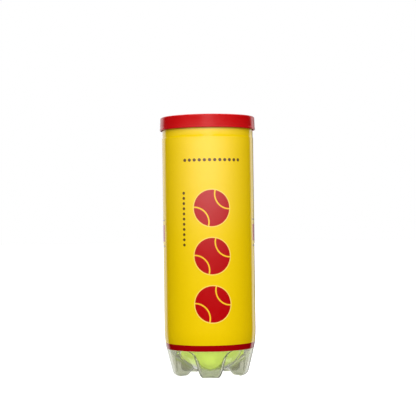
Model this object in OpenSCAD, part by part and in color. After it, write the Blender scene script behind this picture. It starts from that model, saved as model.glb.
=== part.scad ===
// Pressurised tennis ball can: a clear five-footed bottle with a printed sleeve, closed by a
// seamed metal end with a ring pull and a snap lid, holding three felt-covered balls.
// Millimetres, +Z up, origin under the middle of the foot pads, front of the can towards -Y.

/* [Balls] */
// Diameter of a ball over its felt
ball_d = 66; // [65.4:0.1:66.4]
// Thickness of the felt cloth
felt_t = 2.8; // [2.4:0.1:3.2]
// Thickness of the rubber core's wall
core_t = 3.5; // [3:0.1:4]
// Width of the glued seam between the two felt panels
seam_w = 2; // [1.6:0.1:2.4]
// Height of the lowest ball's underside above the foot pads
ball_floor = 4.5; // [4.5:0.1:6]

/* [Bottle] */
// Outer radius of the clear barrel, without the sleeve
barrel_r = 37.3; // [37.3:0.05:37.5]
// Thickness of the blown plastic wall
wall_t = 0.5; // [0.4:0.05:0.6]
// Height at which the barrel starts to draw in towards the feet
taper_z = 38; // [36:1:40]
// Radius of the long curve that draws the barrel in
taper_r = 85; // [84:1:88]

/* [Feet] */
// Number of feet in the blown base
foot_n = 5; // [5:1:5]
// Radius at the inner edge of the foot pads
pad_in_r = 20; // [19.5:0.5:21]
// Radius of the rounded heel between the pads and the flank
heel_r = 4; // [3.5:0.1:4.2]
// Half width of the valleys between the feet
valley_r = 8.6; // [8.2:0.1:8.8]
// Height on the flank where the valleys run out
valley_top_z = 22; // [21:0.5:22.5]

/* [Sleeve] */
// Thickness of the printed sleeve film
film_t = 0.08; // [0.06:0.01:0.1]
// Height of the sleeve's lower edge
sleeve_low_z = 22; // [22:0.5:24]

/* [Metal end] */
// Thickness of the end's metal sheet
sheet_t = 0.25; // [0.22:0.01:0.28]
// Radius of the opening that is left when the panel is torn out
mouth_r = 34.3; // [34.1:0.05:34.4]
// Outer radius of the double seam
seam_r = 37.95; // [37.95:0.01:38]
// Height of the seam's top above the panel's underside
seam_rise = 5.75; // [5.75:0.05:6]

/* [Ring pull] */
// Distance of the rivet from the middle of the can
rivet_y = 25; // [24.6:0.1:25.4]
// Outer radius of the finger ring
ring_r = 12; // [11.5:0.1:12.5]
// Radius of the finger hole
finger_r = 8.5; // [8:0.1:8.6]
// Thickness over the rolled edges of the tab
tab_t = 1.2; // [1.1:0.05:1.3]

/* [Lid] */
// Outer radius of the lid
lid_r = 39; // [39:0.05:39.3]
// Height of the lid over its skirt
lid_h = 10.7; // [10:0.1:11.5]
// Thickness of the lid's skirt
lid_wall = 0.75; // [0.7:0.05:0.8]
// Number of snap beads inside the skirt
bead_n = 6; // [4:1:8]

/* [Hidden] */
$fn = 64;

// Balls
ball_n = 3;
ball_r = ball_d / 2;
core_r = ball_r - felt_t;
felt_gap = 0.03;
// How each ball happens to lie in the can: turns about X, Y and Z in degrees
ball_turn = [[62, 18, 20], [-35, 40, 75], [15, -50, 130]];
// The seam is four circular arcs on the sphere. Each arc's centre lies lobe_tilt above or below
// the ball's middle plane, and the arcs run into each other with a slight overlap.
lobe_tilt = 17;
lobe_overlap = 0.6;
lobe_angle = acos(-pow(sin(lobe_tilt), 2)) / 2 + lobe_overlap;
seam_half = asin(seam_w / 2 / ball_r);
seam_play = 0.05;
cut_far = 45;

// Heights up the can
panel_gap = 0.45;
panel_z = ball_floor + ball_n * ball_d + panel_gap;
lip_z = panel_z + 0.35;
seam_top = panel_z + seam_rise;
lid_gap = 0.3;
lid_plate = 0.6;
lid_rim = 0.4;
lid_under = seam_top + lid_gap;
lid_top = lid_under + lid_plate + lid_rim;
lid_low = lid_top - lid_h;
shoulder_z = lid_low - 6.8;
shoulder_h = 0.8;
sleeve_top_z = lid_low + 1.7;

// Base of the bottle
base_t = wall_t + 0.1;
base_drop = 1.1;
dome_z = ball_floor - base_drop;
flank_angle = asin((taper_z - 17) / taper_r);
flank_z = taper_z - taper_r * sin(flank_angle);
flank_r = barrel_r - taper_r * (1 - cos(flank_angle));
heel_z = heel_r * (1 - sin(flank_angle));
heel_out_r = flank_r - (flank_z - heel_z) * tan(flank_angle);
pad_out_r = heel_out_r - heel_r * cos(flank_angle);
foot_in_r = 12.5;
valley_near = [16, 10];
valley_far = [36, 24.5];
valley_slope = atan((valley_far[1] - valley_near[1]) / (valley_far[0] - valley_near[0]));
valley_flare = 3.5;
valley_deep = 40;
arc_steps = 6;
dome_steps = 8;

// Top of the bottle, from the inside of the seam outwards
seam_low = seam_top - 2.8;
fit_gap = 0.03;
chuck_r = seam_r - 1.8;
neck_in_r = chuck_r + sheet_t + 2 * fit_gap - 0.01;
neck_r = neck_in_r + wall_t;
cover_hook_r = neck_r + fit_gap;
hook_t = 0.22;
body_hook_r = cover_hook_r + hook_t + fit_gap;
body_hook_out_r = seam_r - sheet_t - fit_gap;
flange_z = seam_top - sheet_t - 0.35;
sink_z = panel_z - 1.05;
sink_r = mouth_r + 0.7;

// Metal end's panel and tab
panel_r = mouth_r - 0.15;
step_r = 29.6;
step_w = 0.9;
rivet_r = 2.3;
rivet_head_r = 3.1;
rivet_seat_r = 3.4;
tab_z = lip_z + sheet_t + 0.2;
tab_axis_z = tab_z + tab_t / 2;
tab_axis_y = -(rivet_y + 5.6);
ring_y = tab_axis_y + 21.4;
nose_w = 13;
tongue_t = 0.4;
tongue_w = 8;
tongue_y = [-(rivet_y + 3.4), -(rivet_y - 5.2)];
tongue_play = 0.3;

// Height of the inside or outside of the base dome at radius r, for a dome set in by t
function dome_edge(t) = [wall_radius(valley_top_z + t, t), valley_top_z + t];
function dome_curve(t) = let (rise = dome_edge(t)[1] - dome_z - t, run = dome_edge(t)[0])
    (run * run + rise * rise) / (2 * rise);
function dome_height(r, t) = dome_z + t + dome_curve(t)
    - sqrt(pow(dome_curve(t), 2) - r * r);
// Radius of the drawn-in wall at height z, for a wall set in by t
function wall_radius(z, t) = barrel_r - taper_r
    + sqrt(pow(taper_r - t, 2) - pow(taper_z - z, 2));
// Points of the drawn-in wall between two heights, upwards
function wall_curve(z0, z1, t) = [for (i = [0:arc_steps])
    let (z = z0 + (z1 - z0) * i / arc_steps) [wall_radius(z, t), z]];
// Points of the base dome from the middle out to just short of its edge
function dome_points(t) = [for (i = [0:dome_steps - 1])
    let (r = dome_edge(t)[0] * i / dome_steps) [r, dome_height(r, t)]];
// Points of the rounded heel, from the pad to the flank
function heel_points(t) = [for (i = [0:arc_steps])
    let (a = (90 - flank_angle) * i / arc_steps)
    [pad_out_r + (heel_r - t) * sin(a), heel_r - (heel_r - t) * cos(a)]];

// Solid that fills the bottle's wall line, or its inside when set in by t, down to the dome
module vessel(t, neck, top) {
    rotate_extrude()
        polygon(concat(dome_points(t), wall_curve(valley_top_z + t, taper_z, t), [
            [barrel_r - t, shoulder_z],
            [neck, shoulder_z + shoulder_h],
            [neck, top],
            [0, top]]));
}

// Ring of feet before the valleys are cut, set in by t
module foot_ring(t) {
    rotate_extrude()
        polygon(concat(
            [[foot_in_r + t, dome_height(foot_in_r + t, t) + 0.6], [pad_in_r + t / 2, t]],
            heel_points(t), wall_curve(flank_z, valley_top_z + t, t)));
}

// One valley between two feet: a round-topped channel that climbs outwards, wider by t
module valley(t) {
    r = valley_r + t;
    start = valley_near[1] - valley_near[0] * tan(valley_slope);
    low_w = 0.98 * r + valley_deep * tan(valley_flare);
    translate([0, 0, start])
        rotate([0, -valley_slope, 0])
            translate([0, 0, -valley_r])
                rotate([90, 0, 90]) {
                    cylinder(h = 80, r = r);
                    linear_extrude(80)
                        polygon([[-0.98 * r, 0], [-low_w, -valley_deep],
                            [low_w, -valley_deep], [0.98 * r, 0]]);
                }
}

// Feet with their valleys cut, set in by t
module feet(t) {
    difference() {
        foot_ring(t);
        for (i = [0:foot_n - 1])
            rotate(-90 + (i + 0.5) * 360 / foot_n)
                valley(t);
    }
}

// Clear bottle: straight barrel, drawn-in base on five feet, and a flange hooked into the seam
module can_body() {
    color([0.85, 0.9, 0.86, 0.4])
        difference() {
            union() {
                vessel(0, neck_r, flange_z);
                feet(0);
                rotate_extrude()
                    polygon([[neck_r - 0.2, flange_z - wall_t], [body_hook_r, flange_z - wall_t],
                        [body_hook_r, seam_low + 0.6], [body_hook_out_r, seam_low + 0.6],
                        [body_hook_out_r, flange_z], [neck_r - 0.2, flange_z]]);
            }
            vessel(wall_t, neck_in_r, flange_z + 1);
            feet(base_t);
        }
}

// Printed film sleeve, shrunk onto the barrel from under the lid to just above the feet
module label_sleeve() {
    inner = -0.02;
    outer = inner - film_t;
    color([0.93, 0.74, 0.04])
        rotate_extrude()
            polygon(concat(wall_curve(sleeve_low_z, taper_z, outer), [
                [barrel_r - outer, shoulder_z],
                [neck_r - outer, shoulder_z + shoulder_h],
                [neck_r - outer, sleeve_top_z],
                [neck_r - inner, sleeve_top_z],
                [neck_r - inner, shoulder_z + shoulder_h],
                [barrel_r - inner, shoulder_z]],
                [for (p = [arc_steps:-1:0]) wall_curve(sleeve_low_z, taper_z, inner)[p]]));
}

// Seamed aluminium ring that stays on the can: double seam, chuck wall, countersink and lip
module end_ring() {
    color([0.78, 0.79, 0.8])
        rotate_extrude()
            polygon([
                [mouth_r, lip_z], [sink_r, lip_z], [sink_r, sink_z], [chuck_r + sheet_t, sink_z],
                [chuck_r + sheet_t, seam_top - sheet_t], [seam_r - sheet_t, seam_top - sheet_t],
                [seam_r - sheet_t, seam_low + sheet_t],
                [cover_hook_r + hook_t, seam_low + sheet_t],
                [cover_hook_r + hook_t, flange_z - wall_t - 0.1],
                [cover_hook_r, flange_z - wall_t - 0.1],
                [cover_hook_r, seam_low + 0.1], [cover_hook_r + 0.1, seam_low],
                [seam_r - 0.3, seam_low], [seam_r, seam_low + 0.3],
                [seam_r, seam_top - 0.6], [seam_r - 0.2, seam_top - 0.18],
                [seam_r - 0.55, seam_top], [chuck_r + 0.45, seam_top],
                [chuck_r + 0.12, seam_top - 0.15], [chuck_r, seam_top - 0.5],
                [chuck_r, sink_z + sheet_t], [sink_r + sheet_t, sink_z + sheet_t],
                [sink_r + sheet_t, lip_z + sheet_t], [mouth_r, lip_z + sheet_t]]);
}

// Sealing compound pressed between the bottle's flange and the top of the seam
module seam_compound() {
    color([0.55, 0.56, 0.52])
        rotate_extrude()
            translate([chuck_r + sheet_t + 0.05, flange_z + fit_gap])
                square([1.05, 0.26]);
}

// Scored panel that tears out whole, with its stiffening step and the rivet drawn from its metal
module tear_panel() {
    color([0.8, 0.81, 0.82]) {
        rotate_extrude()
            polygon([
                [0, panel_z], [step_r - 6, panel_z], [step_r - 5.4, panel_z + 0.2],
                [step_r - 4, panel_z + 0.2], [step_r - 3.4, panel_z], [step_r, panel_z],
                [step_r + step_w, lip_z], [panel_r, lip_z], [panel_r, lip_z + sheet_t],
                [step_r + step_w - 0.1, lip_z + sheet_t], [step_r - 0.1, panel_z + sheet_t],
                [step_r - 3.3, panel_z + sheet_t], [step_r - 3.9, panel_z + 0.2 + sheet_t],
                [step_r - 5.5, panel_z + 0.2 + sheet_t], [step_r - 6.1, panel_z + sheet_t],
                [0, panel_z + sheet_t]]);
        translate([0, -rivet_y, panel_z + sheet_t / 2]) {
            cylinder(h = tab_z - panel_z - sheet_t / 2, r = rivet_seat_r);
            cylinder(h = tab_z + tongue_t - panel_z, r = rivet_r);
            translate([0, 0, tab_z + tongue_t - panel_z - sheet_t / 2])
                cylinder(h = 0.55, r1 = rivet_head_r, r2 = rivet_head_r - 0.5);
        }
    }
}

// Lanced tongue of the tab, held flat under the rivet's head
module tab_tongue() {
    color([0.74, 0.75, 0.77])
        difference() {
            translate([-tongue_w / 2, tongue_y[0], tab_z])
                cube([tongue_w, tongue_y[1] - tongue_y[0], tongue_t]);
            translate([0, -rivet_y, tab_z - 1])
                cylinder(h = tongue_t + 2, r = rivet_r + 0.05);
        }
}

// Ring pull: finger ring, arms round the tongue and the rolled nose that it turns on
module pull_tab() {
    window_low = tongue_y[0] - tongue_play;
    window_high = tongue_y[1] + tongue_play;
    web_t = 0.4;
    web_edge = 1.5;
    color([0.7, 0.71, 0.73])
        difference() {
            union() {
                translate([0, ring_y, tab_z])
                    cylinder(h = tab_t, r = ring_r);
                translate([0, 0, tab_z])
                    linear_extrude(tab_t)
                        polygon([[-nose_w / 2, tab_axis_y], [nose_w / 2, tab_axis_y],
                            [ring_r - 0.3, ring_y - 3], [-ring_r + 0.3, ring_y - 3]]);
                translate([-nose_w / 2, tab_axis_y, tab_axis_z])
                    rotate([0, 90, 0])
                        cylinder(h = nose_w, r = tab_t / 2);
            }
            translate([0, ring_y, tab_z - 1])
                cylinder(h = tab_t + 2, r = finger_r);
            translate([-tongue_w / 2 - tongue_play, window_low, tab_z - 1])
                cube([tongue_w + 2 * tongue_play, window_high - window_low, tab_t + 2]);
            for (side = [-1, 1])
                translate([side * (tongue_w / 2 + tongue_play + web_edge + 0.75),
                    (window_low + window_high) / 2, tab_z + web_t + 0.5])
                    cube([1.5, window_high - window_low, 1], center = true);
        }
}

// Snap lid: skirt over the seam, recessed top and short beads that catch under the seam
module overcap() {
    corner = 1;
    inner_r = lid_r - lid_wall;
    bead_z = seam_low - 0.9;
    color([0.72, 0.03, 0.04])
        union() {
            rotate_extrude()
                polygon(concat(
                    [[0, lid_under], [inner_r - 0.4, lid_under], [inner_r, lid_under - 0.4],
                        [inner_r, lid_low + 0.2], [inner_r + 0.2, lid_low],
                        [lid_r - 0.25, lid_low], [lid_r, lid_low + 0.25]],
                    [for (i = [0:4]) let (a = 90 * i / 4)
                        [lid_r - corner + corner * cos(a), lid_top - corner + corner * sin(a)]],
                    [[lid_r - 3.4, lid_top], [lid_r - 4, lid_top - lid_rim],
                        [0, lid_top - lid_rim]]));
            for (i = [0:bead_n - 1])
                rotate(i * 360 / bead_n)
                    rotate_extrude(angle = 30)
                        polygon([[inner_r + 0.1, bead_z - 0.4], [inner_r - 0.15, bead_z],
                            [inner_r + 0.1, bead_z + 0.4]]);
        }
}

// Puts a ball's part at its place in the stack, turned as that ball lies
module ball_place(i) {
    translate([0, 0, ball_floor + (i - 0.5) * ball_d])
        rotate(ball_turn[i - 1])
            children();
}

// Hollow sphere between two radii
module shell(outer, inner) {
    difference() {
        sphere(r = outer);
        sphere(r = inner);
    }
}

// Slab that slices a round cap of half angle a off the ball, on the side turned by spin and
// lifted by tilt
module cap_slab(spin, tilt, a) {
    near = ball_r * cos(a);
    rotate([0, 0, spin])
        rotate([0, 90 - tilt, 0])
            translate([-cut_far, -cut_far, near])
                cube([2 * cut_far, 2 * cut_far, cut_far - near]);
}

// Space of one felt panel: half of the ball with two lobes added and two bites taken out, kept
// off the other panel by half on the ball's surface
module panel_space(half) {
    step = ball_r * sin(half);
    difference() {
        union() {
            translate([-cut_far, -cut_far, step])
                cube([2 * cut_far, 2 * cut_far, cut_far]);
            for (spin = [0, 180])
                cap_slab(spin, -lobe_tilt, lobe_angle - half);
        }
        for (spin = [90, 270])
            cap_slab(spin, lobe_tilt, lobe_angle + half);
    }
}

// The two felt panels are one shape: the second is the first turned over and round
module turned_over() {
    rotate([180, 0, 90])
        children();
}

// Rubber half shell of the hollow core, upper half
module core_half() {
    color([0.12, 0.12, 0.13])
        intersection() {
            shell(core_r, core_r - core_t);
            translate([-cut_far, -cut_far, 0])
                cube([2 * cut_far, 2 * cut_far, cut_far]);
        }
}

// Dog-bone panel of felt cloth
module felt_panel() {
    color([0.78, 0.9, 0.2])
        intersection() {
            shell(ball_r, core_r + felt_gap);
            panel_space(seam_half);
        }
}

// Raised line of pale rubber cement that fills the joint between the panels
module seam_line() {
    color([0.93, 0.93, 0.88])
        difference() {
            shell(ball_r - 0.6, core_r + felt_gap);
            panel_space(seam_half - seam_play);
            turned_over()
                panel_space(seam_half - seam_play);
        }
}

module ball_core_upper(i) {
    ball_place(i)
        core_half();
}

module ball_core_lower(i) {
    ball_place(i)
        turned_over()
            core_half();
}

module ball_felt_a(i) {
    ball_place(i)
        felt_panel();
}

module ball_felt_b(i) {
    ball_place(i)
        turned_over()
            felt_panel();
}

module ball_seam(i) {
    ball_place(i)
        seam_line();
}

can_body();
label_sleeve();
end_ring();
seam_compound();
tear_panel();
tab_tongue();
pull_tab();
overcap();
ball_core_upper(1);  // ball_1_core_upper
ball_core_lower(1);  // ball_1_core_lower
ball_felt_a(1);  // ball_1_felt_a
ball_felt_b(1);  // ball_1_felt_b
ball_seam(1);  // ball_1_seam
ball_core_upper(2);  // ball_2_core_upper
ball_core_lower(2);  // ball_2_core_lower
ball_felt_a(2);  // ball_2_felt_a
ball_felt_b(2);  // ball_2_felt_b
ball_seam(2);  // ball_2_seam
ball_core_upper(3);  // ball_3_core_upper
ball_core_lower(3);  // ball_3_core_lower
ball_felt_a(3);  // ball_3_felt_a
ball_felt_b(3);  // ball_3_felt_b
ball_seam(3);  // ball_3_seam
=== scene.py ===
# %% [markdown]
# # A tennis ball can, piece by piece
# A pressurised can for three tennis balls is a clear blown bottle that stands on five feet. A
# printed film sleeve is shrunk round it, an aluminium end with a ring pull is seamed on top, and
# a red plastic lid snaps over that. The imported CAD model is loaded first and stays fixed: every
# piece made here takes its place, and the body that it moves with, from it.

# %% Load the frame and keep its size
import math
import random

import bmesh
import bpy
from mathutils import Euler, Matrix, Vector, noise


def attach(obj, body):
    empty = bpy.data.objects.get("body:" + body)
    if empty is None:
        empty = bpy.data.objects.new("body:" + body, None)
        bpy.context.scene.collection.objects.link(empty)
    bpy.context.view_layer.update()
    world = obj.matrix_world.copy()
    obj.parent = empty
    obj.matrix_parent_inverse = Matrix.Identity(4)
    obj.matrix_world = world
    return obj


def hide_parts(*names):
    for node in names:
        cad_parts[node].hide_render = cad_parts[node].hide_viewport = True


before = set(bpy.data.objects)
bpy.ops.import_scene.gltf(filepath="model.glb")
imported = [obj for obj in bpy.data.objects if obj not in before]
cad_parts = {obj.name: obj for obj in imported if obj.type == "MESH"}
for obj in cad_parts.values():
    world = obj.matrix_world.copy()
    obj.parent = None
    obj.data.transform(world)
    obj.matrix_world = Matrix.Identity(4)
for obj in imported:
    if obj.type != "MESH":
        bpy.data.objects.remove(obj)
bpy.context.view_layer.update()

# %% [markdown]
# ## Units and colours
# The frame is in metres, but a can maker thinks in millimetres, so shapes are worked out in
# millimetres and scaled once, when a mesh is made. Colours are picked as sRGB hex values, the
# way a printer would name an ink, and shaders need them linear.

# %% Millimetres and linear colours
MM = 0.001


def linear(hex_colour):
    """Linear RGBA of an sRGB hex colour."""
    parts = [int(hex_colour[i:i + 2], 16) / 255 for i in (1, 3, 5)]
    bent = [p / 12.92 if p <= 0.04045 else ((p + 0.055) / 1.055) ** 2.4 for p in parts]
    return (*bent, 1.0)


print("mid grey is", [round(v, 3) for v in linear("#808080")])

# %% [markdown]
# ## One way to add a node
# Every finish below is built from shader nodes. They could be wired by hand in the editor, but a
# single helper keeps the recipe readable: it adds a node, changes its settings, and either links
# a socket or sets its value.

# %% Add a node with its settings and links


def add_node(tree, kind, settings=None, inputs=None):
    """Add a shader node. An input given as a socket is linked, and anything else is its value."""
    node = tree.nodes.new("ShaderNode" + kind)
    for name, value in (settings or {}).items():
        setattr(node, name, value)
    for name, value in (inputs or {}).items():
        if isinstance(value, bpy.types.NodeSocket):
            tree.links.new(value, node.inputs[name])
        else:
            node.inputs[name].default_value = value
    return node


def start_material(name):
    """A new material and its empty node tree."""
    material = bpy.data.materials.new(name)
    material.use_nodes = True
    material.node_tree.nodes.clear()
    return material, material.node_tree


print("node helper ready")

# %% [markdown]
# ## Camera
# The can is looked at level from its front, from almost a metre away with a long lens, so that
# its sides stay nearly parallel. The camera is made early because it decides how much detail
# each piece needs: from here, anything under half a millimetre hardly shows.

# %% Place the camera
CAMERA_FROM = Vector((-0.0003, -0.971, 0.1244))
CAMERA_LENS = 102.5
CAMERA_PITCH = 90.68
CAMERA_ROLL = -0.78
camera_data = bpy.data.cameras.new("long_lens")
camera_data.lens = CAMERA_LENS
camera_data.sensor_width = 36
camera_data.clip_start = 0.01
camera = bpy.data.objects.new("long_lens", camera_data)
camera.location = CAMERA_FROM
tilt = Matrix.Rotation(math.radians(CAMERA_PITCH), 4, "X")
roll = Matrix.Rotation(math.radians(CAMERA_ROLL), 4, "Z")
camera.rotation_euler = (tilt @ roll).to_euler()
bpy.context.scene.collection.objects.link(camera)
bpy.context.scene.camera = camera
bpy.context.scene.view_settings.view_transform = "Standard"
print("camera", round(-CAMERA_FROM.y * 1000), "mm in front, lens", CAMERA_LENS, "mm")

# %% [markdown]
# ## Studio light
# Glossy plastic shows the room as much as its own colour, so the room is designed: a white sweep
# behind the can, one broad soft light above the camera, a dim floor, and black flags at the
# sides. Area lamps could do all of this, but a world drawn with a few sums gives soft edges
# without noise. The camera itself only ever sees plain white. Light that last left a matt piece
# inside the clear base finds the room brighter, as balls under clear plastic are lit by a table
# that throws light back up.

# %% Draw the studio as a world
SOFT_LIGHT = 2.35
SOFT_WIDE = math.radians(40)
SWEEP_LIGHT = 1.2
SWEEP_HALF = math.radians(47)
FLAG_EDGES = (math.radians(3), math.radians(26))
FILL_LIGHT = 0.24
CLEAR_FILL = 0.3
LIFT_FILL = 1.0
MATT_SHARE = 0.78
PANEL_HIGH = math.sin(math.radians(10))
STRIP_HALF = math.radians(12)
STRIP_LIGHT = 1.2
OVERHEAD_FROM = math.sin(math.radians(42))
OVERHEAD_LIGHT = 2.6
HORIZON_SLOPE = 45.0
HORIZON_LIGHT = 0.4
SWEEP_SLOPE = 14.0
FLAG_DEPTH = 0.8

world = bpy.data.worlds.new("white_sweep_studio")
world.use_nodes = True
world.node_tree.nodes.clear()
bpy.context.scene.world = world
tree = world.node_tree
look = add_node(tree, "TexCoord").outputs["Generated"]
parts = add_node(tree, "SeparateXYZ", inputs={0: look})
ray = add_node(tree, "LightPath")
known = {"x": parts.outputs[0], "y": parts.outputs[1], "z": parts.outputs[2],
         "matt": ray.outputs["Is Diffuse Ray"], "gloss": ray.outputs["Is Glossy Ray"],
         "through": ray.outputs["Is Transmission Ray"],
         "matt_before": ray.outputs["Diffuse Depth"]}
for name, operation, *terms in [
        ("not_gloss", "SUBTRACT", 1.0, "gloss"),
        ("bearing", "ARCTAN2", "x", "y"),
        ("aside", "ABSOLUTE", "bearing"),
        # broad soft light in front, from eye level up, of which gloss sees only the lowest part
        ("off_front", "SUBTRACT", math.pi, "aside"),
        ("off_square", "MULTIPLY", "off_front", "off_front"),
        ("off_fall", "MULTIPLY", "off_square", -0.5 / SOFT_WIDE ** 2),
        ("glow", "EXPONENT", "off_fall"),
        ("lift", "MULTIPLY", "z", HORIZON_SLOPE),
        ("lifted", "ADD", "lift", HORIZON_LIGHT),
        ("lift_low", "MAXIMUM", "lifted", 0.0),
        ("upward", "MINIMUM", "lift_low", 1.0),
        ("soft", "MULTIPLY", "glow", "upward"),
        ("soft_light", "MULTIPLY", "soft", SOFT_LIGHT),
        ("foot", "LESS_THAN", "z", PANEL_HIGH),
        ("matt_share", "MULTIPLY", "not_gloss", MATT_SHARE),
        ("shown", "MAXIMUM", "foot", "matt_share"),
        ("soft_shown", "MULTIPLY", "soft_light", "shown"),
        # narrow strip and a stronger lamp high above it, which only gloss shows
        ("strip_x", "LESS_THAN", "off_front", STRIP_HALF),
        ("strip_z", "GREATER_THAN", "z", PANEL_HIGH),
        ("strip", "MULTIPLY", "strip_x", "strip_z"),
        ("strip_light", "MULTIPLY", "strip", STRIP_LIGHT),
        ("high", "GREATER_THAN", "z", OVERHEAD_FROM),
        ("high_light", "MULTIPLY", "high", OVERHEAD_LIGHT),
        ("lamps", "MAXIMUM", "strip_light", "high_light"),
        ("lamp_light", "MULTIPLY", "lamps", "gloss"),
        # white sweep behind, with a black flag to the right
        ("edge", "SUBTRACT", SWEEP_HALF, "aside"),
        ("edge_soft", "MULTIPLY", "edge", SWEEP_SLOPE),
        ("edge_low", "MAXIMUM", "edge_soft", 0.0),
        ("sweep", "MINIMUM", "edge_low", 1.0),
        ("flag_from", "GREATER_THAN", "bearing", FLAG_EDGES[0]),
        ("flag_to", "LESS_THAN", "bearing", FLAG_EDGES[1]),
        ("flag", "MULTIPLY", "flag_from", "flag_to"),
        ("flag_dim", "MULTIPLY", "flag", FLAG_DEPTH),
        ("open", "SUBTRACT", 1.0, "flag_dim"),
        ("sweep_open", "MULTIPLY", "sweep", "open"),
        ("sweep_light", "MULTIPLY", "sweep_open", SWEEP_LIGHT),
        # light bounced off the walls, which only matt and clear surfaces gather
        ("fill", "MULTIPLY", "matt", FILL_LIGHT),
        ("lift_fill", "MULTIPLY", "matt_before", LIFT_FILL),
        ("any_fill", "ADD", "lift_fill", CLEAR_FILL),
        ("clear_fill", "MULTIPLY", "through", "any_fill"),
        ("both", "ADD", "soft_shown", "sweep_light"),
        ("lit", "ADD", "both", "lamp_light"),
        ("filled", "ADD", "lit", "fill"),
        ("room", "ADD", "filled", "clear_fill")]:
    wires = {i: known[t] if isinstance(t, str) else t for i, t in enumerate(terms)}
    known[name] = add_node(tree, "Math", {"operation": operation}, wires).outputs[0]
seen = add_node(tree, "Mix", {"data_type": "FLOAT"},
                {0: ray.outputs["Is Camera Ray"], 2: known["room"], 3: 1.0})
shine = add_node(tree, "Background", inputs={"Color": (1, 1, 1, 1), "Strength": seen.outputs[0]})
add_node(tree, "OutputWorld", inputs={"Surface": shine.outputs[0]})
print("studio world drawn with", len(tree.nodes), "nodes")

# %% [markdown]
# ## Soft box
# A world is endlessly far away, so it lights the top and the foot of the can alike. A real lamp
# hangs near, and its light fades down the can. One small soft box does that here; it stays out of
# the reflections, which the world already draws.

# %% Hang a small soft box in front of the lid
BOX_AT = Vector((0, -0.42, 0.4))
BOX_AIM = Vector((0, 0, 0.2))
BOX_WIDE = 0.3
BOX_WATTS = 0.65
box_light = bpy.data.lights.new("soft_box", "AREA")
box_light.size = BOX_WIDE
box_light.energy = BOX_WATTS
soft_box = bpy.data.objects.new("soft_box", box_light)
soft_box.location = BOX_AT
soft_box.rotation_euler = (BOX_AIM - BOX_AT).to_track_quat("-Z", "Y").to_euler()
soft_box.visible_glossy = False
soft_box.visible_camera = False
bpy.context.scene.collection.objects.link(soft_box)
print("soft box", round((BOX_AIM - BOX_AT).length * 1000), "mm from the can")

# %% [markdown]
# ## Floor
# A shelf or a sheet of white card would do. It is a plain pale plane, bright enough to melt into
# the white behind it, and it is kept out of reflections so that the foot of the can stays crisp.
# Seen through the clear feet it is a little dimmer, so that their walls show, and it throws light
# back up at the ball.

# %% Lay the pale floor
FLOOR_REACH = 6.0
FLOOR_Z = -0.0001
FLOOR_GLOW = 0.95
FLOOR_THROUGH = 0.5
FLOOR_LIFT = 2.6
floor_material, tree = start_material("matt_painted_board")
grain = add_node(tree, "TexNoise", inputs={"Scale": 40.0, "Detail": 2.0})
paint = add_node(tree, "Mix", {"data_type": "RGBA"},
                 {0: grain.outputs[0], 6: linear("#c9c9c7"), 7: linear("#cdcdcb")})
ray = add_node(tree, "LightPath")
plain = add_node(tree, "Mix", {"data_type": "FLOAT"}, {
    0: ray.outputs["Is Transmission Ray"], 2: FLOOR_GLOW, 3: FLOOR_THROUGH})
lifting = add_node(tree, "Math", {"operation": "MINIMUM"}, {0: ray.outputs["Diffuse Depth"], 1: 1.0})
glow = add_node(tree, "Mix", {"data_type": "FLOAT"}, {
    0: lifting.outputs[0], 2: plain.outputs[0], 3: FLOOR_LIFT})
shader = add_node(tree, "BsdfPrincipled", inputs={
    "Base Color": paint.outputs[2], "Roughness": 0.9, "Specular IOR Level": 0.0,
    "Emission Color": (1, 1, 1, 1), "Emission Strength": glow.outputs[0]})
add_node(tree, "OutputMaterial", inputs={"Surface": shader.outputs[0]})
floor_mesh = bpy.data.meshes.new("floor")
floor_mesh.from_pydata(
    [(x * FLOOR_REACH, y * FLOOR_REACH, FLOOR_Z) for x, y in ((-1, -1), (1, -1), (1, 1), (-1, 1))],
    [], [(0, 1, 2, 3)])
floor_mesh.materials.append(floor_material)
floor = bpy.data.objects.new("floor", floor_mesh)
floor.visible_glossy = False
floor.visible_diffuse = False
bpy.context.scene.collection.objects.link(floor)
print("floor", 2 * FLOOR_REACH, "m across")

# %% [markdown]
# ## Turned shapes
# The can, its sleeve, its metal end and its lid are all round, so each is a profile spun about
# the middle, as on a lathe. Blender's Spin or Screw could do it too, but plain points give full
# control of where the creases fall. Real corners are never sharp, so a second helper rounds a
# profile's corners before it is spun.

# %% Round a profile's corners and spin it


def rounded(corners, steps=4):
    """Round a closed profile. Each corner is (radius, height, size of its rounding) in mm."""
    profile = []
    for i, (r, z, size) in enumerate(corners):
        here = Vector((r, z))
        before = Vector(corners[i - 1][:2]) - here
        after = Vector(corners[(i + 1) % len(corners)][:2]) - here
        run = min(size, 0.49 * before.length, 0.49 * after.length)
        if run < 0.001:
            profile.append((r, z))
            continue
        start = here + before.normalized() * run
        end = here + after.normalized() * run
        for s in range(steps + 1):
            t = s / steps
            spot = start * (1 - t) ** 2 + here * (2 * t * (1 - t)) + end * t ** 2
            profile.append((max(spot.x, 0.0), spot.y))
    return profile


def spun(profile, segments):
    """Points and faces of a closed profile of (radius, height) spun about Z."""
    n = len(profile)
    turns = [2 * math.pi * k / segments for k in range(segments)]
    points = [(r * math.sin(a), -r * math.cos(a), z) for a in turns for r, z in profile]
    faces = []
    for k in range(segments):
        here, there = k * n, (k + 1) % segments * n
        faces += [(here + i, there + i, there + (i + 1) % n, here + (i + 1) % n)
                  for i in range(n)]
    return points, faces


print("a ring of 4 corners spun 8 times has", len(spun([(1, 0), (2, 0), (2, 1), (1, 1)], 8)[1]),
      "faces")

# %% [markdown]
# ## From points to a piece
# Each piece is one mesh object that rides on the body it moves with, hides the CAD solids it
# stands for, and wears its finish. Doubled points are merged and needle-thin faces removed here,
# so that every mesh comes out closed and clean.

# %% Make a piece and tie it to the frame


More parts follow.
